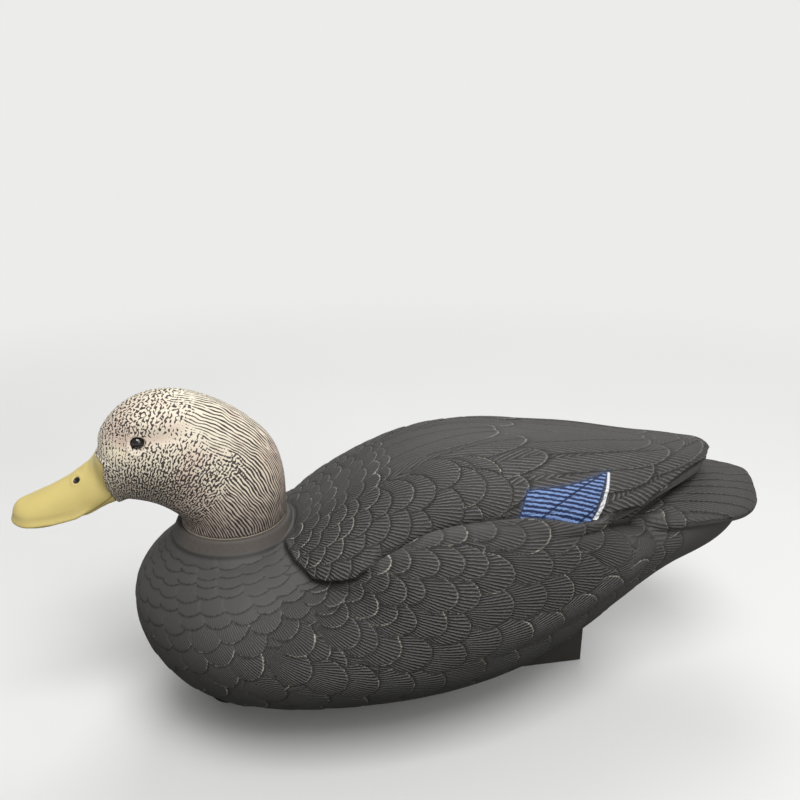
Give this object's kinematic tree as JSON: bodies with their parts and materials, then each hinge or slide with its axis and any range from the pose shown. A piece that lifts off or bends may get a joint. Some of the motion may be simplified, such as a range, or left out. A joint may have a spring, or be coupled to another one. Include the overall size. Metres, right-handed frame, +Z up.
{
  "type": "floating duck decoy",
  "caption": "Life-size floating duck decoy with a hollow feathered body, weighted keel, line eyelets and a head that swivels on a bolted collar.",
  "frame": {"origin": "centre of the whole decoy's length and width, at the level of the keel's foot", "axes": "+X from the bill toward the tail, +Y toward the decoy's left side, +Z up"},
  "size_m": [0.505, 0.2038, 0.2312],
  "materials": {
    "hull_plastic": "matt charcoal-brown paint over moulded polyethylene",
    "head_plastic": "matt cream paint over moulded polyethylene, pale mustard bill",
    "keel_plastic": "plain moulded dark plastic",
    "ballast_metal": "raw grey metal, hidden in the keel",
    "zinc_steel": "zinc-plated steel",
    "eyelet_brass": "rolled brass",
    "plug_rubber": "black rubber",
    "washer_nylon": "unfilled nylon",
    "eye_gloss": "glossy black"
  },
  "bodies": {
    "hull": {"body_shell": "hull_plastic", "keel": "keel_plastic", "ballast_front": "ballast_metal", "ballast_rear": "ballast_metal", "keel_screws": "zinc_steel", "front_line_eyelet": "eyelet_brass", "rear_line_eyelet": "eyelet_brass", "drain_plug": "plug_rubber", "bolt_tube": "keel_plastic", "swivel_washer": "washer_nylon"},
    "swivel_head": {"head": "head_plastic", "eye_left": "eye_gloss", "eye_right": "eye_gloss", "head_insert": "eyelet_brass", "head_bolt": "zinc_steel", "bolt_washer": "zinc_steel", "spring_washer": "zinc_steel"}
  },
  "joints": [
    {"name": "head_swivel", "type": "hinge", "parent": "hull", "child": "swivel_head", "pos_m": [-0.1175, 0, 0.1426], "axis": [0, 0, 1], "range_deg": [-75, 75]}
  ]
}
